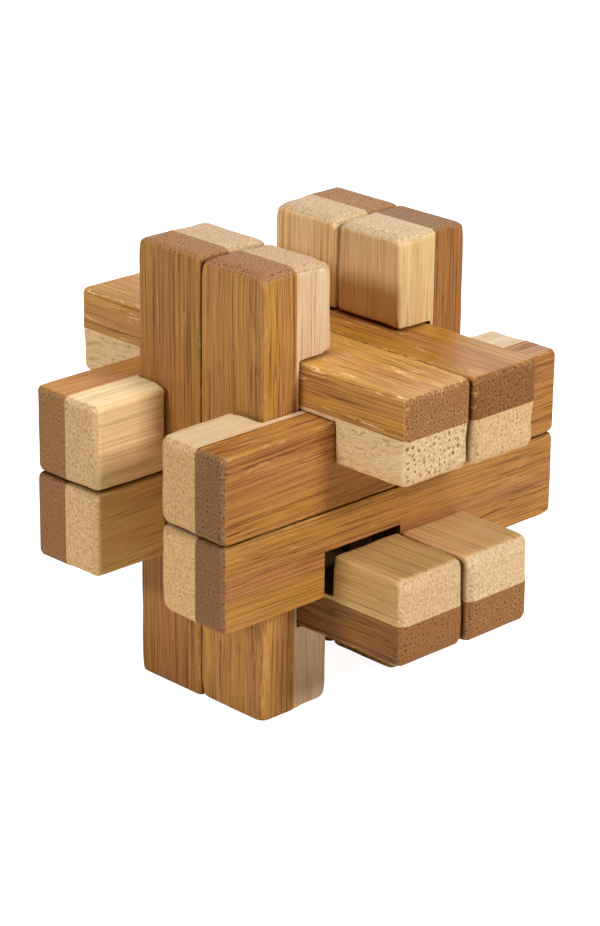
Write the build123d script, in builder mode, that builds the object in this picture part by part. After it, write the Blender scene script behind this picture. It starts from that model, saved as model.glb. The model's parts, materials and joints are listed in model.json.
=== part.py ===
"""Twelve-stick interlocking burr puzzle of two-layer laminated bamboo.

Four sticks run along each axis, in two pairs that stand apart with the crossing
sticks between them.  Every stick is glued up from a dark outer strip and a light
inner strip.  Two crossing notches are cut in the inner face of each stick, deep
enough to leave only a skin of the light strip.  Two sticks, the keys, have a
third notch in one side, so that each can be drawn off with one crossing stick.

The origin is the centre of the puzzle and +Z is up.  X runs left to right and
Y runs front to back.  All sizes are in millimetres.
"""

from build123d import *
import os

# ---- driving dimensions ------------------------------------------------
stick_length = 63.0
stick_width = 12.0        # across the seam between the two sticks of a pair
light_thickness = 6.45    # inner strip
dark_thickness = 5.75     # outer strip
light_surplus = 0.5       # thicker inner strip where the board was planed off centre
light_shortfall = 0.3     # thinner inner strip, where it was planed the other way
notch_skin = 0.5          # light wood left behind the two crossing notches

# ---- clearances --------------------------------------------------------
pair_gap = 0.2            # between the two sticks of a pair
floor_gap = 0.2           # between a notch floor and the stick across it
wall_gap = 0.3            # on each side of a stick in a crossing notch
slipped_gap = 0.12        # what is left of it where a stick has slipped along
key_seam_gap = 0.9        # key notch, past the seam of the crossing pair
key_side_gap = 1.3        # key notch, past the outer side of the crossing stick
key_floor_gap = 0.8       # key notch, behind the crossing stick

# ---- eased edges -------------------------------------------------------
arris_radius = 0.8        # long edges and notch mouths, worn by tumbling
end_chamfer = 0.6         # round the two ends of a stick

# ---- places worked out from them, in the frame of one stick ------------
# along runs with the stick, side points away from the seam of its pair,
# outward points away from the centre of the puzzle
side_start = pair_gap / 2
side_end = side_start + stick_width
notch_depth = light_thickness - notch_skin
notch_floor = side_end + floor_gap
inner_face = notch_floor - notch_depth
glue_line = inner_face + light_thickness
outer_face = glue_line + dark_thickness

notch_width = outer_face - inner_face + 2 * wall_gap
notch_middle = (inner_face + outer_face) / 2
key_start = side_start - key_seam_gap
key_width = side_end + key_side_gap - key_start
key_floor = inner_face - key_floor_gap
key_cut_depth = side_end - key_floor
slip = wall_gap - slipped_gap

LEFT, RIGHT = Vector(-1, 0, 0), Vector(1, 0, 0)
FRONT, BACK = Vector(0, -1, 0), Vector(0, 1, 0)
DOWN, UP = Vector(0, 0, -1), Vector(0, 0, 1)
CENTRED = Vector(0, 0, 0)

# name of each stick, its outward direction, its side direction, the way that it
# has slipped along in its play, and how far out its glue line lies from the usual
STICKS = [
    ("upright_front_left", FRONT, LEFT, CENTRED, light_surplus),
    ("upright_front_right", FRONT, RIGHT, CENTRED, 0),
    ("upright_back_left", BACK, LEFT, CENTRED, -light_shortfall),
    ("upright_back_right", BACK, RIGHT, CENTRED, 0),
    ("lengthwise_upper_left", LEFT, UP, BACK, -light_shortfall),
    ("lengthwise_upper_right", RIGHT, UP, FRONT, light_surplus),
    ("lengthwise_lower_left", LEFT, DOWN, CENTRED, -light_shortfall),
    ("lengthwise_lower_right", RIGHT, DOWN, FRONT, light_surplus),
    ("crosswise_upper_front", UP, FRONT, LEFT, 0),
    ("crosswise_upper_back", UP, BACK, RIGHT, 0),
    ("crosswise_lower_front", DOWN, FRONT, LEFT, 0),
    ("crosswise_lower_back", DOWN, BACK, RIGHT, 0),
]
KEYS = ("lengthwise_lower_left", "lengthwise_lower_right")


def stick_frame(outward, side, shift):
    """Frame of one stick: X along it, Y to its side, Z outward, origin at mid length."""
    return Plane(origin=shift, x_dir=side.cross(outward), z_dir=outward)


def end_faces(strip, frame):
    """The two faces at the ends of a strip."""
    rows = strip.faces().group_by(Axis(frame.origin, frame.x_dir))
    return rows[0] + rows[-1]


def ease(strip, frame, face_row, glue_row):
    """Rounds the edges of one row of faces, and chamfers the ends up to the glue line."""
    outward = Axis(frame.origin, frame.z_dir)
    faces = strip.faces().group_by(outward)[face_row]
    fillet(faces.edges() - end_faces(strip, frame).edges(), radius=arris_radius)
    ends = end_faces(strip, frame).edges()
    chamfer(ends - ends.group_by(outward)[glue_row], length=end_chamfer)


def cut_key_notch(frame):
    """Cuts the third notch of a key right through the strip being built."""
    with BuildSketch(frame.offset(inner_face)) as notch:
        with Locations((key_start, key_floor)):
            Rectangle(key_width, key_cut_depth, align=Align.MIN)
    extrude(notch.sketch, amount=outer_face - inner_face, mode=Mode.SUBTRACT)


def light_strip(frame, glue_shift, is_key):
    """The inner strip: a comb of three blocks on a thin skin of light wood."""
    side_view = Plane(origin=frame.origin + frame.y_dir * side_end, x_dir=frame.x_dir, z_dir=-frame.y_dir)
    with BuildPart() as strip:
        with BuildSketch(side_view):
            with Locations((0, inner_face)):
                Rectangle(stick_length, light_thickness + glue_shift, align=(Align.CENTER, Align.MIN))
            with Locations((-notch_middle, inner_face), (notch_middle, inner_face)):
                Rectangle(notch_width, notch_depth, align=(Align.CENTER, Align.MIN), mode=Mode.SUBTRACT)
        extrude(amount=stick_width)
        ease(strip, frame, face_row=0, glue_row=-1)
        if is_key:
            cut_key_notch(frame)
    return strip


def dark_strip(frame, glue_shift, is_key):
    """The outer strip: a plain bar, eased everywhere but at the glue line."""
    with BuildPart() as strip:
        with BuildSketch(frame.offset(glue_line + glue_shift)):
            with Locations((0, side_start)):
                Rectangle(stick_length, stick_width, align=(Align.CENTER, Align.MIN))
        extrude(amount=dark_thickness - glue_shift)
        ease(strip, frame, face_row=-1, glue_row=0)
        if is_key:
            cut_key_notch(frame)
    return strip


os.makedirs("parts", exist_ok=True)
for stick_name, outward, side, slipped, glue_shift in STICKS:
    frame = stick_frame(outward, side, slipped * slip)
    for layer, make_strip in (("light", light_strip), ("dark", dark_strip)):
        strip = make_strip(frame, glue_shift, stick_name in KEYS)
        strip.part.label = f"{stick_name}_{layer}"
        export_step(strip.part, f"parts/{stick_name}_{layer}.step")
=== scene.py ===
"""Looks of the wooden burr puzzle: twelve sticks, each a dark and a light strip of bamboo.

Lengths inside the functions are in millimetres in the frame of one stick: X runs
along the stick, Y points away from the seam of its pair and Z points outwards.
"""

import json
import math

import bpy
import numpy as np
from mathutils import Matrix, Vector


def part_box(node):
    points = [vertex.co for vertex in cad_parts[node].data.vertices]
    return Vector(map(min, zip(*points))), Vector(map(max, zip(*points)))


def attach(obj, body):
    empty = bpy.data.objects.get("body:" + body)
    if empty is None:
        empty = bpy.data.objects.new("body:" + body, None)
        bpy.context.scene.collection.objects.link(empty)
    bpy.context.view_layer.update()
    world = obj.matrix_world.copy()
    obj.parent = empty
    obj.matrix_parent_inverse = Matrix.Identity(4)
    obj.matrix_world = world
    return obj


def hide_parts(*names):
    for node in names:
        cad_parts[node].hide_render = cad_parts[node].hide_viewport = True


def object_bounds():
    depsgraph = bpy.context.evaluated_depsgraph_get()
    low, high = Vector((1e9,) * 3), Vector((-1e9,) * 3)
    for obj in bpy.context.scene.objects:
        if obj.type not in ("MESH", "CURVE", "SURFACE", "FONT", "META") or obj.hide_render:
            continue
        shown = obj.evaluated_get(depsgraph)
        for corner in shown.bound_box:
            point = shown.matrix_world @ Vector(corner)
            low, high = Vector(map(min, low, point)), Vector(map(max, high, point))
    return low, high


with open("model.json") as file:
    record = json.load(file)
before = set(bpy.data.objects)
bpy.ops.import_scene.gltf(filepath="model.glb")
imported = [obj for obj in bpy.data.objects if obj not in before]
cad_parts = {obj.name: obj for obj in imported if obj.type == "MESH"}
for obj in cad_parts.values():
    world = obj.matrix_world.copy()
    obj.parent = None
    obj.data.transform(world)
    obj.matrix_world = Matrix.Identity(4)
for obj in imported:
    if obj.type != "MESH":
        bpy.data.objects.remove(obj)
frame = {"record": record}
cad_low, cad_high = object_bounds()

MM = 0.001

LEFT, RIGHT = (-1, 0, 0), (1, 0, 0)
FRONT, BACK = (0, -1, 0), (0, 1, 0)
DOWN, UP = (0, 0, -1), (0, 0, 1)

# ---- the two woods --------------------------------------------------------
# Colours are display colours from 0 to 255, tones scale them in linear light,
# and pitch is the spacing of the fibre bundles in mm. The darkest colour of each
# wood is painted shade for the notches and seams, and the palest serves wear,
# grain and painted highlights on the arrises.

DARK_WOOD = dict(
    wood=(196, 142, 65), warm=(190, 131, 76), fibre=(104, 58, 22),
    end_wood=(154, 107, 68), bundle=(104, 62, 38),
    worn=(226, 190, 142), burnt=(62, 32, 10),
    tone=(1.0, 1.0, 1.0), end_tone=(1.0, 1.0, 1.0),
    pitch=0.75, dot_size=1.05, dots=0.7, speckle=0.25,
    streaks=0.95, wear=0.3, curl=0.0,
)
LIGHT_WOOD = dict(
    wood=(235, 210, 171), warm=(233, 199, 159), fibre=(178, 138, 92),
    end_wood=(227, 193, 153), bundle=(160, 120, 84),
    worn=(242, 224, 192), burnt=(92, 62, 34),
    tone=(1.0, 1.0, 1.0), end_tone=(1.0, 1.0, 1.0),
    pitch=0.75, dot_size=1.1, dots=0.35, speckle=0.42,
    streaks=0.6, wear=0.1, curl=0.0,
)

# ---- the sticks -----------------------------------------------------------
# Each stick's outward and side direction, the seed of its grain, the radius of its
# end arrises and notch mouths, and where its strips differ from the common woods;
# a few tones are painted shade, for strips that lie in shadow.

STICKS = {
    "upright_front_left": dict(
        outward=FRONT, side=LEFT, seed=1,
        dark=dict(tone=(0.98, 0.97, 1.02), end_tone=(1.18, 1.19, 1.18), streaks=1.0),
        light=dict(end_tone=(0.88, 0.89, 0.95)),
    ),
    "upright_front_right": dict(
        outward=FRONT, side=RIGHT, seed=2, end=1.7, mouth=0.9,
        dark=dict(
            tone=(1.07, 1.12, 1.22), end_tone=(1.11, 1.06, 1.12),
            warm=(194, 137, 74), fibre=(116, 62, 30), streaks=1.05, curl=0.8,
        ),
        light=dict(tone=(1.05, 1.08, 1.28), end_tone=(0.86, 0.83, 0.83), streaks=0.85),
    ),
    "upright_back_left": dict(
        outward=BACK, side=LEFT, seed=3,
        dark=dict(end_tone=(1.20, 1.25, 1.33)),
        light=dict(tone=(1.21, 1.20, 1.00), end_tone=(0.90, 0.94, 1.02), streaks=1.0),
    ),
    "upright_back_right": dict(
        outward=BACK, side=RIGHT, seed=4,
        dark=dict(tone=(0.87, 0.78, 0.71), end_tone=(0.94, 0.98, 1.11)),
        light=dict(tone=(1.05, 1.02, 0.86), end_tone=(0.95, 1.00, 1.11), streaks=0.8),
    ),
    "lengthwise_upper_left": dict(
        outward=LEFT, side=UP, seed=5, mouth=1.2,
        dark=dict(tone=(1.24, 1.21, 1.13), end_tone=(1.10, 1.20, 1.19), dots=0.45),
        light=dict(tone=(1.18, 1.21, 1.14), end_tone=(1.04, 1.01, 0.98), streaks=0.7),
    ),
    "lengthwise_upper_right": dict(
        outward=RIGHT, side=UP, seed=6,
        dark=dict(
            tone=(0.96, 0.95, 0.76), end_tone=(0.78, 0.80, 0.88),
            fibre=(116, 54, 20), streaks=1.15, dots=0.7, wear=0.45,
        ),
        light=dict(tone=(0.95, 0.94, 0.97), end_tone=(1.02, 0.95, 0.80)),
    ),
    "lengthwise_lower_left": dict(
        outward=LEFT, side=DOWN, seed=7,
        dark=dict(end_tone=(1.07, 1.08, 1.18), dots=0.5),
        # painted shade: the light strip's tone is darker and golden, as its side lies in shadow
        light=dict(tone=(0.88, 0.80, 0.52), end_tone=(1.13, 1.11, 1.05), streaks=0.95),
    ),
    "lengthwise_lower_right": dict(
        outward=RIGHT, side=DOWN, seed=8,
        dark=dict(tone=(0.97, 0.95, 0.95), end_tone=(0.84, 0.88, 0.97), dots=0.35),
        light=dict(end_tone=(1.12, 1.07, 0.90)),
    ),
    "crosswise_upper_front": dict(
        outward=UP, side=FRONT, seed=9,
        dark=dict(
            tone=(1.26, 1.36, 1.48), end_tone=(1.02, 0.94, 0.77),
            pitch=0.70, dots=0.65, wear=0.95,
        ),
        light=dict(
            tone=(1.16, 1.16, 1.12), end_tone=(1.08, 1.13, 1.26), bundle=(140, 96, 62),
            pitch=0.92, dot_size=1.0, dots=0.85, streaks=0.9, curl=9.0,
        ),
    ),
    "crosswise_upper_back": dict(
        outward=UP, side=BACK, seed=10,
        dark=dict(
            tone=(0.91, 0.80, 0.54), end_tone=(0.77, 0.64, 0.54),
            pitch=0.70, dot_size=1.15, dots=0.75, wear=0.95,
        ),
        light=dict(end_tone=(1.05, 1.05, 1.03), dots=0.5),
    ),
    "crosswise_lower_front": dict(
        outward=DOWN, side=FRONT, seed=11, end=1.5, mouth=0.5,
        # painted shade: the side tones are darker, the dark strip's for its side shaded by the
        # sticks above, the light strip's golden for its top under the key notch's beam
        dark=dict(tone=(0.56, 0.52, 0.56), end_tone=(1.02, 0.94, 0.72), dots=0.8, wear=0.8),
        light=dict(tone=(0.79, 0.72, 0.50), end_tone=(1.02, 1.03, 1.10), streaks=0.95),
    ),
    "crosswise_lower_back": dict(
        outward=DOWN, side=BACK, seed=12, end=1.5,
        dark=dict(end_tone=(1.02, 0.95, 0.80), dots=0.85),
        # painted shade: the light strip's tone is golden for its top, which lies under the sticks
        # above
        light=dict(tone=(0.97, 0.87, 0.70), end_tone=(1.07, 1.14, 1.30), streaks=0.8),
    ),
}
KEYS = ("lengthwise_lower_left", "lengthwise_lower_right")

# ---- notches, as the solids have them -------------------------------------
NOTCH_NEAR, NOTCH_FAR = 6.05, 18.85     # walls of the crossing notches
NOTCH_FLOOR = 12.3                      # their floor, from the centre
KEY_NEAR, KEY_FAR = -0.8, 13.4          # walls of a key notch
KEY_FLOOR = 5.55                        # its floor, from the seam

# ---- arrises --------------------------------------------------------------
ARRIS = {"dark": 0.34, "light": 0.85}   # radius of a long arris
END_ARRIS = 1.0                         # radius at the ends, at the dark strip
BLOCK_END = 1.5                         # radius at the ends, at the light strip's inner face
BLOCK_RISE = 2.5                        # height over which the one becomes the other
END_REACH = 3.0                         # how far from an end its radius is felt
MOUTH_ARRIS = 0.6                       # radius at the mouths of the notches
CRISP = 0.22                            # radius deep inside a notch
WANDER = 0.2                            # share by which a radius comes and goes
WANDER_LENGTH = 9.0
TOUCH = 1e-4                            # nearer than this is on the side itself

# ---- painted shade in the notches and along the seams ---------------------
FLOOR_MARGIN = 0.3                      # rim of a notch floor left without painted shade
WALL_FADE = 2.0                         # depth at which a notch wall's painted shade is full
# width and reach of the painted shade along the seams, in mm
SEAM_SHADE_WIDTH = 0.11
SEAM_SHADE_DEPTH = 2.6

# ---- spacing of the grid lines --------------------------------------------
EASED_STEPS = np.array([0.0, 0.05, 0.12, 0.21, 0.32, 0.46, 0.64, 0.86, 1.12, 1.45, 1.9])
PITCH_ALONG, PITCH_ACROSS = 0.9, 1.3


def stick_axes(stick):
    """Rows along, side and outward of a stick's frame; along is side x outward."""
    side, outward = np.array(stick["side"], float), np.array(stick["outward"], float)
    return np.array([np.cross(side, outward), side, outward])


def stick_box(node, axes):
    """Lowest and highest corner of a node in the frame of its stick, in mm."""
    corners = np.array([list(corner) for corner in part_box(node)]) @ axes.T / MM
    return corners.min(0), corners.max(0)


def ripple(points, seed, length):
    """Smooth noise of about -1 to 1.

    A third of the sum of six sine waves in random directions, each about length long.
    """
    draw = np.random.default_rng(seed)
    turns = draw.normal(size=(6, 3)) * 2 * math.pi / length
    return np.sin(points @ turns.T + draw.uniform(0, 2 * math.pi, 6)).sum(1) / 3


def gap_to_nearest(values, marks):
    """Distance of each value from the mark that is nearest to it."""
    return np.abs(np.asarray(marks)[None, :] - values[:, None]).min(1)


def levels(breaks, eased, pitch):
    """Levels of the grid lines along one axis.

    Even steps of at most the pitch between the breaks, and close steps over the
    curve beside each eased break, where there is room for them.
    """
    lines = []
    for low, high in zip(breaks[:-1], breaks[1:]):
        from_low = low + EASED_STEPS if low in eased else np.array([low])
        from_high = high - EASED_STEPS[::-1] if high in eased else np.array([high])
        if from_low[-1] >= from_high[0]:
            from_low, from_high = np.array([low]), np.array([high])
        count = max(2, math.ceil((from_high[0] - from_low[-1]) / pitch) + 1)
        middle = np.linspace(from_low[-1], from_high[0], count)
        lines += [from_low, middle, from_high]
    return np.unique(np.round(np.concatenate(lines), 6))


def flat_sides(solid, breaks, lines):
    """Point grids of the flat sides of a notched bar.

    A side is a function of two parameters, u and v: a corner of the bar's cell
    plus u along its first edge plus v along its second edge.
    """
    grids = []
    inner = (slice(1, -1),) * 3
    for axis in range(3):
        u_axis, v_axis = (axis + 1) % 3, (axis + 2) % 3
        for step in (-1, 1):
            bare = solid & ~np.roll(np.pad(solid, 1), -step, axis)[inner]
            for cell in np.argwhere(bare):
                spans = []
                for k in range(3):
                    low, high = breaks[k][cell[k]], breaks[k][cell[k] + 1]
                    spans.append(lines[k][(lines[k] >= low) & (lines[k] <= high)])
                grid = np.empty((len(spans[u_axis]), len(spans[v_axis]), 3))
                grid[..., axis] = breaks[axis][cell[axis] + (step > 0)]
                grid[..., u_axis] = spans[u_axis][:, None]
                grid[..., v_axis] = spans[v_axis][None, :]
                grids.append(grid if step > 0 else grid.swapaxes(0, 1))
    return grids


def join_grids(grids):
    """Points and quads of the grids, with the points that they share made one."""
    points, quads, first = [], [], 0
    for grid in grids:
        rows, columns = grid.shape[:2]
        index = first + np.arange(rows * columns).reshape(rows, columns)
        corners = [index[:-1, :-1], index[1:, :-1], index[1:, 1:], index[:-1, 1:]]
        quads.append(np.stack(corners, -1).reshape(-1, 4))
        points.append(grid.reshape(-1, 3))
        first += rows * columns
    points = np.round(np.concatenate(points), 6)
    points, merged = np.unique(points, axis=0, return_inverse=True)
    return points, merged.reshape(-1)[np.concatenate(quads)]


def ease_arrises(points, low, high, layer, stick):
    """Rounds the arrises of a strip, and measures each point's place beside them.

    Near an arris a point's nearness to each of the sides that meet there is 1 on
    the side and 0 at the radius from it. The point moves away from each side by
    radius * nearness * (1 - largest nearness / length of the nearness vector),
    which turns a square edge into a quarter circle and a corner into an eighth of a
    ball. Also returns the distance from the nearest arris, and from 0 to 1 how much
    painted shade darkens the wood inside the notches and along the seam of the pair.
    """
    half = (high[0] - low[0]) / 2
    x, y, z = points.T
    x = x - (high[0] + low[0]) / 2
    away = np.abs(x)
    in_block = (layer == "light") & (z < NOTCH_FLOOR - TOUCH)
    end_gap = half - away
    wall_gap = gap_to_nearest(x, [-NOTCH_FAR, -NOTCH_NEAR, NOTCH_NEAR, NOTCH_FAR])
    at_wall = in_block & (wall_gap < end_gap)
    gap_x = np.where(at_wall, wall_gap, end_gap)
    gap_y = np.minimum(y - low[1], high[1] - y)

    # signs of the way out of the strip through the side that is near
    in_middle = away < (NOTCH_NEAR + NOTCH_FAR) / 2
    sign_x = np.sign(x) * np.where(at_wall & ~in_middle, -1, 1)
    sign_y = np.where(y - low[1] < high[1] - y, -1, 1)
    if layer == "light":
        gap_z, sign_z = np.where(in_block, z - low[2], 99.0), -1
        rise = np.clip((high[2] - z) / BLOCK_RISE, 0, 1)
    else:
        gap_z, sign_z = high[2] - z, 1
        rise = 0.0

    radius = ARRIS[layer] * (1 + WANDER * ripple(points, stick["seed"] * 10, WANDER_LENGTH))
    end_radius = stick.get("end", END_ARRIS) + (BLOCK_END - END_ARRIS) * rise
    own_radius = np.where(at_wall, stick.get("mouth", MOUTH_ARRIS), end_radius)
    radius += np.clip(1 - gap_x / END_REACH, 0, 1) ** 2 * (own_radius - ARRIS[layer])
    deep = np.clip(gap_z / END_ARRIS - 1, 0, 1)
    radius = np.where(at_wall, radius + (CRISP - radius) * deep, radius)

    gaps = np.stack([gap_x, gap_y, gap_z], 1)
    near = np.clip(1 - gaps / radius[:, None], 0, 1)
    length = np.maximum(np.linalg.norm(near, axis=1), 1e-9)
    move = radius[:, None] * near * (1 - near.max(1) / length)[:, None]
    way = np.stack([sign_x, sign_y, np.full(len(x), sign_z)], 1)
    arris_gap = np.clip(np.sort(gaps, 1)[:, 1], 0, 9)

    in_notch = (away > NOTCH_NEAR - TOUCH) & (away < NOTCH_FAR + TOUCH)
    on_floor = (layer == "light") & in_notch & (np.abs(z - NOTCH_FLOOR) < TOUCH)
    on_wall = at_wall & (wall_gap < TOUCH)
    # painted shade inside the notches: their floors fully, their walls more the deeper they go
    wall_shade = np.where(on_wall, np.clip(gap_z / WALL_FADE, 0, 1), 0.0)
    shade_amount = np.where(on_floor & (gap_y > FLOOR_MARGIN), 1.0, wall_shade)
    # painted shade lies along the seam of the pair, and fades towards the inside
    depth = np.minimum(gap_x, gap_z)
    seam_shade = np.clip(1 - (y - low[1]) / SEAM_SHADE_WIDTH, 0, 1)
    seam_shade *= np.clip(depth / radius, 0, 1) * np.clip(SEAM_SHADE_DEPTH - depth, 0, 1)
    return points - move * way, arris_gap, np.maximum(shade_amount, seam_shade)


def strip_mesh(name, stick, layer, is_key):
    """Mesh of one strip: the flat sides of a notched bar, joined and eased."""
    axes = stick_axes(stick)
    low, high = stick_box(f"{name}_{layer}", axes)
    middle = (low[0] + high[0]) / 2
    marks = {low[0] - middle, high[0] - middle}
    if layer == "light":
        marks |= {-NOTCH_FAR, -NOTCH_NEAR, NOTCH_NEAR, NOTCH_FAR}
    if is_key:
        marks |= {KEY_NEAR, KEY_FAR}
    x_breaks = np.array(sorted(marks))
    y_breaks = np.array([low[1], KEY_FLOOR, high[1]] if is_key else [low[1], high[1]])
    z_breaks = np.array([low[2], NOTCH_FLOOR, high[2]] if layer == "light" else [low[2], high[2]])

    # the bar in cells between the breaks, without those of its notches
    middles = [(b[1:] + b[:-1]) / 2 for b in (x_breaks, y_breaks, z_breaks)]
    x, y, z = np.meshgrid(*middles, indexing="ij")
    solid = np.ones(x.shape, bool)
    if layer == "light":
        solid &= ~((np.abs(x) > NOTCH_NEAR) & (np.abs(x) < NOTCH_FAR) & (z < NOTCH_FLOOR))
    if is_key:
        solid &= ~((x > KEY_NEAR) & (x < KEY_FAR) & (y > KEY_FLOOR))

    lines = [
        levels(x_breaks, set(x_breaks) - {KEY_NEAR, KEY_FAR}, PITCH_ALONG),
        levels(y_breaks, {low[1], high[1]}, PITCH_ACROSS),
        levels(z_breaks, {low[2]} if layer == "light" else {high[2]}, PITCH_ACROSS),
    ]
    breaks = [np.round(b, 6) for b in (x_breaks, y_breaks, z_breaks)]
    points, quads = join_grids(flat_sides(solid, breaks, lines))
    points[:, 0] += middle
    points, arris_gap, shade_amount = ease_arrises(points, low, high, layer, stick)

    mesh = bpy.data.meshes.new(f"{name}_{layer}_wood")
    mesh.vertices.add(len(points))
    mesh.vertices.foreach_set("co", (points @ axes * MM).astype(np.float32).ravel())
    mesh.loops.add(quads.size)
    mesh.loops.foreach_set("vertex_index", quads.astype(np.int32).ravel())
    mesh.polygons.add(len(quads))
    mesh.polygons.foreach_set("loop_start", np.arange(0, quads.size, 4, dtype=np.int32))
    mesh.polygons.foreach_set("use_smooth", np.ones(len(quads), bool))
    mesh.update(calc_edges=True)
    mesh.set_sharp_from_angle(angle=math.radians(40))
    # the mesh keeps the distance from the arrises and the amount of painted shade
    for key, values in {"arris_gap": arris_gap, "saw_cut": shade_amount}.items():
        attribute = mesh.attributes.new(key, "FLOAT", "POINT")
        attribute.data.foreach_set("value", values.astype(np.float32))
    return mesh


# ---- node helpers ---------------------------------------------------------


def colour(red, green, blue):
    """Linear RGBA of a display colour given from 0 to 255, by the sRGB curve."""
    parts = np.array([red, green, blue]) / 255
    linear = np.where(parts <= 0.04045, parts / 12.92, ((parts + 0.055) / 1.055) ** 2.4)
    return (*[float(v) for v in linear], 1.0)


def toned(red_green_blue, tone):
    """Linear RGBA of a display colour with each part scaled by the tone."""
    return (*[part * by for part, by in zip(colour(*red_green_blue), tone)], 1.0)


def wire(tree, kind, inputs=None, **settings):
    """A new node with its settings, and its inputs linked or set."""
    node = tree.nodes.new(kind)
    for key, value in settings.items():
        setattr(node, key, value)
    for key, value in (inputs or {}).items():
        if isinstance(value, bpy.types.NodeSocket):
            tree.links.new(value, node.inputs[key])
        else:
            node.inputs[key].default_value = value
    return node


def calc(tree, operation, *values, clamp=False):
    """Output of a Math node."""
    inputs = dict(enumerate(values))
    return wire(tree, "ShaderNodeMath", inputs, operation=operation, use_clamp=clamp).outputs[0]


def vector_calc(tree, operation, **inputs):
    """Output of a Vector Math node: a and b are vectors, by is a scale."""
    sockets = {"a": 0, "b": 1, "by": "Scale"}
    inputs = {sockets[key]: value for key, value in inputs.items()}
    return wire(tree, "ShaderNodeVectorMath", inputs, operation=operation).outputs[0]


def ramp(tree, value, low, high):
    """0 at the low value and 1 at the high value, with a smooth step between them."""
    inputs = {"Value": value, "From Min": low, "From Max": high, "To Min": 0.0, "To Max": 1.0}
    node = wire(tree, "ShaderNodeMapRange", inputs, interpolation_type="SMOOTHSTEP")
    return node.outputs["Result"]


def blend(tree, factor, first, second):
    """The first colour where the factor is 0, and the second where it is 1."""
    inputs = {0: factor, 6: first, 7: second}
    return wire(tree, "ShaderNodeMix", inputs, data_type="RGBA", blend_type="MIX").outputs[2]


def drawn_out(tree, place, along, scale, detail=1.0, roughness=0.5):
    """Noise that is drawn out along the stick.

    Along is how fast it changes that way, as a share of how fast it does across.
    """
    place = vector_calc(tree, "MULTIPLY", a=place, b=(along, 1.0, 1.0))
    inputs = {"Vector": place, "Scale": scale, "Detail": detail, "Roughness": roughness}
    return wire(tree, "ShaderNodeTexNoise", inputs).outputs[0]


def swayed(tree, place, along, across, reach):
    """The place moved across the stick: place + (noise - 1/2) * reach.

    The noise changes at the rate along the stick and at the rate across it.
    """
    vector = vector_calc(tree, "MULTIPLY", a=place, b=(along, across, across))
    noise = wire(tree, "ShaderNodeTexNoise", {"Vector": vector, "Scale": 1.0, "Detail": 1.0})
    sway = vector_calc(tree, "SUBTRACT", a=noise.outputs["Color"], b=(0.5, 0.5, 0.5))
    sway = vector_calc(tree, "SCALE", a=sway, by=reach)
    sway = vector_calc(tree, "MULTIPLY", a=sway, b=(0.0, 1.0, 1.0))
    return vector_calc(tree, "ADD", a=place, b=sway)


def crossings(tree, value, full, none):
    """Thin lines where a noise crosses its middle: 1 within full of it, 0 beyond none."""
    off_middle = calc(tree, "ABSOLUTE", calc(tree, "SUBTRACT", value, 0.5))
    return ramp(tree, off_middle, none, full)


def new_group(name, inputs, outputs):
    """An empty shader group with its sockets."""
    group = bpy.data.node_groups.new(name, "ShaderNodeTree")
    kinds = {
        "value": "NodeSocketFloat",
        "vector": "NodeSocketVector",
        "colour": "NodeSocketColor",
    }
    for way, sockets in (("INPUT", inputs), ("OUTPUT", outputs)):
        for kind, names in sockets.items():
            for key in names:
                group.interface.new_socket(key, in_out=way, socket_type=kinds[kind])
    given = group.nodes.new("NodeGroupInput").outputs
    gives = group.nodes.new("NodeGroupOutput").inputs
    return group, given, gives


# ---- the grain of bamboo --------------------------------------------------

WOOD_COLOURS = ("Wood", "Warm", "Fibre", "Worn", "Burnt")
END_COLOURS = ("End Wood", "Bundle")
AMOUNTS = ("Pitch", "Dot Size", "Dots", "Speckle", "Streaks", "Wear", "Curl")

DRIFT = 1.1                 # reach of the fibres' slow wander, in mm
GRAIN_SLOPE = 1.2           # most that the grain runs out of line with a stick, in degrees
CELL_SCATTER = 0.65         # how far the bundles are from a square pattern
BUNDLE_LEAST = 0.13         # radius of the smallest bundle, as a share of the pitch
BUNDLE_RANGE = 0.16         # what the largest has more


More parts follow.
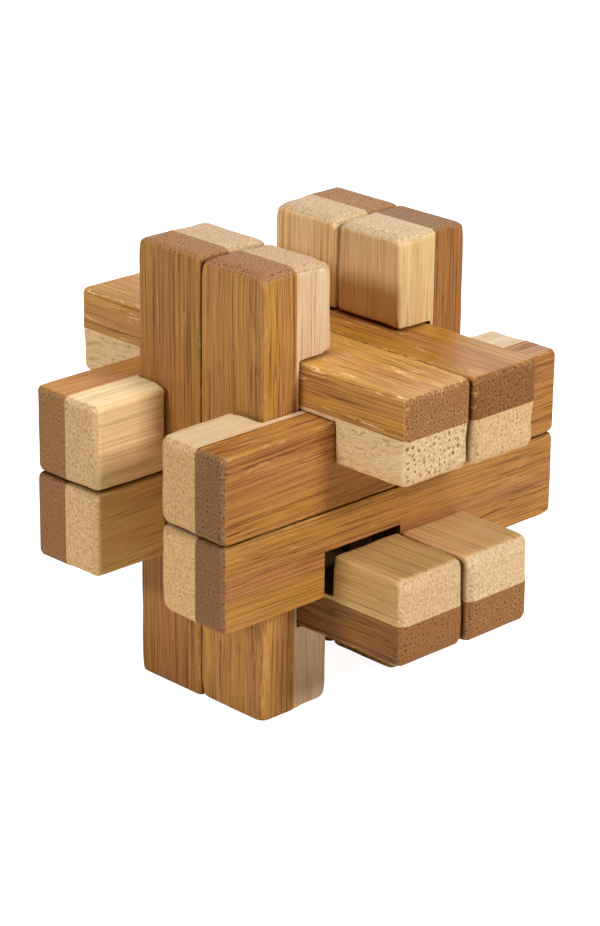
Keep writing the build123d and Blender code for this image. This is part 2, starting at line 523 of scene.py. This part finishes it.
def make_grain_group():
    """Solid bamboo: fibre bundles that run along the stick.

    An end cuts them across and shows dots, and a side shows them as lines. The side's
    colour goes from wood to fibre by a weighted sum of streaks, threads, bundles and
    pores, and the end's from end wood to bundle by dots and mottle.
    """
    group, given, gives = new_group(
        "bamboo_grain",
        {
            "vector": ["Place"],
            "value": ["End", "Arris", "Cut", *AMOUNTS],
            "colour": [*WOOD_COLOURS, *END_COLOURS],
        },
        {"colour": ["Color"], "value": ["Roughness", "Height"]},
    )
    straight = given["Place"]
    # the fibres wander slowly, and wave where the strip is cut near a joint of the cane
    place = swayed(group, straight, 0.02, 0.10, DRIFT)
    place = swayed(group, place, 0.07, 0.03, given["Curl"])

    # bundles: round cells in the cross-section, each of its own size and depth of colour
    section = wire(group, "ShaderNodeSeparateXYZ", {0: place}).outputs
    section = wire(group, "ShaderNodeCombineXYZ", {0: section["Y"], 1: section["Z"]}).outputs[0]
    density = calc(group, "DIVIDE", 1.0, given["Pitch"])
    inputs = {"Vector": section, "Scale": density, "Randomness": CELL_SCATTER}
    cells = wire(group, "ShaderNodeTexVoronoi", inputs, voronoi_dimensions="2D").outputs
    own = wire(group, "ShaderNodeSeparateColor", {0: cells["Color"]}).outputs
    radius = calc(group, "MULTIPLY_ADD", own["Red"], BUNDLE_RANGE, BUNDLE_LEAST)
    radius = calc(group, "MULTIPLY", radius, given["Dot Size"])
    reach = calc(group, "DIVIDE", cells["Distance"], radius)
    strength = calc(group, "MULTIPLY_ADD", own["Green"], 0.6, 0.4)
    bundle = calc(group, "MULTIPLY", ramp(group, reach, 1.45, 0.55), strength)
    halo = calc(group, "MULTIPLY", ramp(group, reach, 2.4, 1.5), ramp(group, reach, 1.1, 1.5))

    # threads are thin dark lines, which some parts of the wood have
    threads = crossings(group, drawn_out(group, place, 0.010, 0.95, 3.0, 0.6), 0.008, 0.026)
    some = ramp(group, drawn_out(group, place, 0.05, 0.8), 0.40, 0.60)
    threads = calc(group, "MULTIPLY", threads, some)
    # noises from the finest streaks to broad bands, and short pores and mottle
    fine = ramp(group, drawn_out(group, place, 0.012, 5.2, 2.0, 0.6), 0.42, 0.60)
    lines = ramp(group, drawn_out(group, place, 0.016, 3.4, 2.0, 0.6), 0.56, 0.62)
    broad = ramp(group, drawn_out(group, place, 0.010, 0.30), 0.36, 0.64)
    mottle = ramp(group, drawn_out(group, place, 1.0, 3.0, 3.0, 0.7), 0.42, 0.60)
    pale = ramp(group, drawn_out(group, straight, 0.04, 2.6, 2.0, 0.6), 0.62, 0.72)
    pores = ramp(group, drawn_out(group, straight, 0.22, 3.2, 2.0, 0.6), 0.66, 0.74)

    streak = calc(group, "MULTIPLY_ADD", fine, 0.32, calc(group, "MULTIPLY", lines, 0.34))
    streak = calc(group, "MULTIPLY_ADD", threads, 0.55, streak)
    streak = calc(group, "MULTIPLY_ADD", bundle, 0.30, streak)
    streak = calc(group, "MULTIPLY_ADD", pores, 0.22, streak)
    streak = calc(group, "MULTIPLY", streak, given["Streaks"], clamp=True)
    side = blend(group, broad, given["Wood"], given["Warm"])
    side = blend(group, streak, side, given["Fibre"])
    side = blend(group, calc(group, "MULTIPLY", pale, 0.20), side, given["Worn"])

    spots = calc(group, "MULTIPLY", bundle, given["Dots"])
    spots = calc(group, "MULTIPLY_ADD", mottle, given["Speckle"], spots)
    spots = calc(group, "MINIMUM", spots, 1.0)
    ring = calc(group, "MULTIPLY", halo, calc(group, "MULTIPLY", given["Dots"], 0.30))
    end = blend(group, ring, given["End Wood"], given["Worn"])
    end = blend(group, spots, end, given["Bundle"])
    wood = blend(group, given["End"], side, end)

    # painted shade: the notches darker the deeper they go, and the seams of the pairs darker
    wood = blend(group, calc(group, "MULTIPLY", given["Cut"], 0.82), wood, given["Burnt"])
    # short pale flecks along the arrises, partly finish rubbed off and partly a painted highlight
    # on the rounded edges, and finish rubbed off in thin scuffs along the grain
    flecks = ramp(group, drawn_out(group, straight, 0.25, 1.7, 3.0, 0.7), 0.54, 0.64)
    arris_highlight_and_wear = calc(group, "MULTIPLY", ramp(group, given["Arris"], 0.70, 0.2), flecks)
    scuffs = crossings(group, drawn_out(group, straight, 0.03, 0.55), 0.005, 0.015)
    patches = ramp(group, drawn_out(group, straight, 0.35, 0.8, 3.0, 0.75), 0.49, 0.60)
    worn = calc(group, "MULTIPLY_ADD", scuffs, calc(group, "MULTIPLY", patches, 0.9), arris_highlight_and_wear)
    on_side = calc(group, "MULTIPLY_ADD", given["End"], -0.6, 1.0)
    worn = calc(group, "MULTIPLY", worn, on_side)
    worn = calc(group, "MULTIPLY", worn, given["Wear"], clamp=True)
    group.links.new(blend(group, worn, wood, given["Worn"]), gives["Color"])

    rough = calc(group, "MULTIPLY_ADD", streak, 0.12, 0.42)
    rough = calc(group, "MULTIPLY_ADD", given["End"], 0.18, rough)
    group.links.new(calc(group, "MULTIPLY_ADD", worn, 0.1, rough), gives["Roughness"])
    side_height = calc(group, "MULTIPLY_ADD", fine, -0.4, calc(group, "MULTIPLY", threads, -0.6))
    end_height = calc(group, "MULTIPLY_ADD", bundle, -0.9, calc(group, "MULTIPLY", mottle, -0.4))
    heights = {0: given["End"], 2: side_height, 3: end_height}
    group.links.new(wire(group, "ShaderNodeMix", heights).outputs[0], gives["Height"])
    return group


GRAIN = make_grain_group()


def bamboo(name, stick, look):
    """Material of one strip: the solid bamboo, turned to run along its stick.

    The place is the Object coordinate in mm, turned to the stick's axes and then by
    the small slope of its grain, and shifted so that no two strips are alike.
    """
    material = bpy.data.materials.new(name)
    material.use_nodes = True
    tree = material.node_tree
    tree.nodes.clear()
    axes = stick_axes(stick)
    draw = np.random.default_rng(stick["seed"] + len(name))
    shift = draw.uniform(-400, 400, 3)
    slope, lean = np.radians(draw.uniform(-GRAIN_SLOPE, GRAIN_SLOPE, 2))
    turn = Matrix.Rotation(slope, 3, "Z") @ Matrix.Rotation(lean, 3, "Y") @ Matrix(axes.tolist())
    place = wire(tree, "ShaderNodeMapping", {
        "Vector": wire(tree, "ShaderNodeTexCoord").outputs["Object"],
        "Location": tuple(shift),
        "Rotation": turn.to_euler(),
        "Scale": (1 / MM,) * 3,
    }).outputs[0]

    # an end is where the surface faces along the stick
    normal = wire(tree, "ShaderNodeNewGeometry").outputs["Normal"]
    inputs = {0: normal, 1: tuple(axes[0])}
    along = wire(tree, "ShaderNodeVectorMath", inputs, operation="DOT_PRODUCT").outputs["Value"]
    grain = wire(tree, "ShaderNodeGroup", node_tree=GRAIN)
    masks = {
        "Place": place,
        "End": ramp(tree, calc(tree, "ABSOLUTE", along), 0.35, 0.8),
        "Arris": wire(tree, "ShaderNodeAttribute", attribute_name="arris_gap").outputs["Fac"],
        # the amount of painted shade in the notches and along the seams
        "Cut": wire(tree, "ShaderNodeAttribute", attribute_name="saw_cut").outputs["Fac"],
    }
    for key, socket in masks.items():
        tree.links.new(socket, grain.inputs[key])
    for keys, tone in ((WOOD_COLOURS, look["tone"]), (END_COLOURS, look["end_tone"])):
        for key in keys:
            own = look[key.lower().replace(" ", "_")]
            grain.inputs[key].default_value = toned(own, tone)
    for key in AMOUNTS:
        grain.inputs[key].default_value = look[key.lower().replace(" ", "_")]

    inputs = {"Strength": 0.35, "Distance": 0.12 * MM, "Height": grain.outputs["Height"]}
    bump = wire(tree, "ShaderNodeBump", inputs)
    shader = wire(tree, "ShaderNodeBsdfPrincipled", {
        "Base Color": grain.outputs["Color"],
        "Roughness": grain.outputs["Roughness"],
        "Normal": bump.outputs[0],
        "Specular IOR Level": 0.4,
    })
    output = wire(tree, "ShaderNodeOutputMaterial")
    tree.links.new(shader.outputs[0], output.inputs["Surface"])
    return material


# ---- the pieces -----------------------------------------------------------

BODIES = frame["record"]["behaviour"]["bodies"]
BODY_OF = {node: body for body, members in BODIES.items() for node in members}

for name, stick in STICKS.items():
    for layer, wood in (("dark", DARK_WOOD), ("light", LIGHT_WOOD)):
        node = f"{name}_{layer}"
        mesh = strip_mesh(name, stick, layer, name in KEYS)
        mesh.materials.append(bamboo(f"{node}_bamboo", stick, {**wood, **stick.get(layer, {})}))
        piece = bpy.data.objects.new(f"{node}_wood", mesh)
        bpy.context.scene.collection.objects.link(piece)
        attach(piece, BODY_OF[node])
        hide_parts(node)

# ---- floor and background -------------------------------------------------

WHITE = (1.0, 1.0, 1.0, 1.0)
SHEET_HALF = 4.0                        # half the side of the floor sheet, in metres
FLOOR_DROP = 0.02 * MM                  # gap between the sticks and the sheet
FLOOR_GLOW = 0.94
PAPER = colour(205, 205, 205)           # the sheet for the eye
PAPER_BOUNCE = colour(226, 216, 194)    # the sheet for the light that it sends up
AMBIENT = 0.06
AMBIENT_TINT = (1.0, 0.66, 0.30, 1.0)

floor_material = bpy.data.materials.new("pale_paper")
floor_material.use_nodes = True
tree = floor_material.node_tree
paper = tree.nodes["Principled BSDF"]
paper.inputs["Roughness"].default_value = 0.9
paper.inputs["Emission Color"].default_value = WHITE
# the sheet glows for the eye alone, and gives the puzzle only a warm dim light from below
seen = wire(tree, "ShaderNodeLightPath").outputs["Is Camera Ray"]
tree.links.new(blend(tree, seen, PAPER_BOUNCE, PAPER), paper.inputs["Base Color"])
tree.links.new(calc(tree, "MULTIPLY", seen, FLOOR_GLOW), paper.inputs["Emission Strength"])

floor_mesh = bpy.data.meshes.new("paper_sheet")
level = cad_low[2] - FLOOR_DROP
corners = [(x * SHEET_HALF, y * SHEET_HALF, level) for x, y in ((-1, -1), (1, -1), (1, 1), (-1, 1))]
floor_mesh.from_pydata(corners, [], [(0, 1, 2, 3)])
floor_mesh.materials.append(floor_material)
floor = bpy.data.objects.new("paper_sheet", floor_mesh)
bpy.context.scene.collection.objects.link(floor)

world = bpy.data.worlds.new("studio")
world.use_nodes = True
tree = world.node_tree
backdrop = tree.nodes["Background"]
seen = wire(tree, "ShaderNodeLightPath").outputs["Is Camera Ray"]
glow = wire(tree, "ShaderNodeMix", {0: seen, 2: AMBIENT, 3: 1.0}).outputs[0]
tree.links.new(glow, backdrop.inputs["Strength"])
tree.links.new(blend(tree, seen, AMBIENT_TINT, WHITE), backdrop.inputs["Color"])
bpy.context.scene.world = world
bpy.context.scene.view_settings.view_transform = "Standard"

# ---- lights ---------------------------------------------------------------

LAMP_DISTANCE = 1.0


def softbox(name, azimuth, elevation, size, power, tint):
    """A square lamp that looks at the puzzle from LAMP_DISTANCE metres.

    Azimuth 0 stands in front of the puzzle and 90 on its right.
    """
    lamp = bpy.data.lights.new(name, "AREA")
    lamp.shape = "SQUARE"
    lamp.size = size
    lamp.energy = power
    lamp.color = tint
    a, e = math.radians(azimuth), math.radians(elevation)
    way = Vector((math.sin(a) * math.cos(e), -math.cos(a) * math.cos(e), math.sin(e)))
    holder = bpy.data.objects.new(name, lamp)
    holder.location = way * LAMP_DISTANCE
    holder.rotation_euler = (-way).to_track_quat("-Z", "Y").to_euler()
    bpy.context.scene.collection.objects.link(holder)


softbox("left_softbox", -5, 27, 0.16, 3.5, (1.0, 1.0, 1.0))
softbox("right_softbox", 100, 31, 0.20, 6.6, (1.0, 0.98, 0.88))
softbox("top_softbox", 45, 88, 0.32, 5.0, (1.0, 1.0, 0.96))
softbox("back_softbox", 218, 28, 0.30, 1.7, (1.0, 0.98, 0.94))

# ---- camera ---------------------------------------------------------------

STICK_WIDTH = 12
CAMERA_PLACE = (22.8993, -22.4708, 12.2305)             # in stick widths
CAMERA_TURN = (1.81666534, 0.774561011, -0.517465296)   # axis times angle, in radians

camera = bpy.data.cameras.new("camera")
camera.lens = 117.10
camera.sensor_width = 36.0
camera.clip_start = 0.01
camera.clip_end = 20
camera_holder = bpy.data.objects.new("camera", camera)
bpy.context.scene.collection.objects.link(camera_holder)
turn = Vector(CAMERA_TURN)
right, down, forward = Matrix.Rotation(turn.length, 3, turn.normalized())
place = Matrix.Translation(Vector(CAMERA_PLACE) * STICK_WIDTH * MM)
facing = Matrix((right, -down, -forward)).transposed().to_4x4()
camera_holder.matrix_world = place @ facing
bpy.context.scene.camera = camera_holder
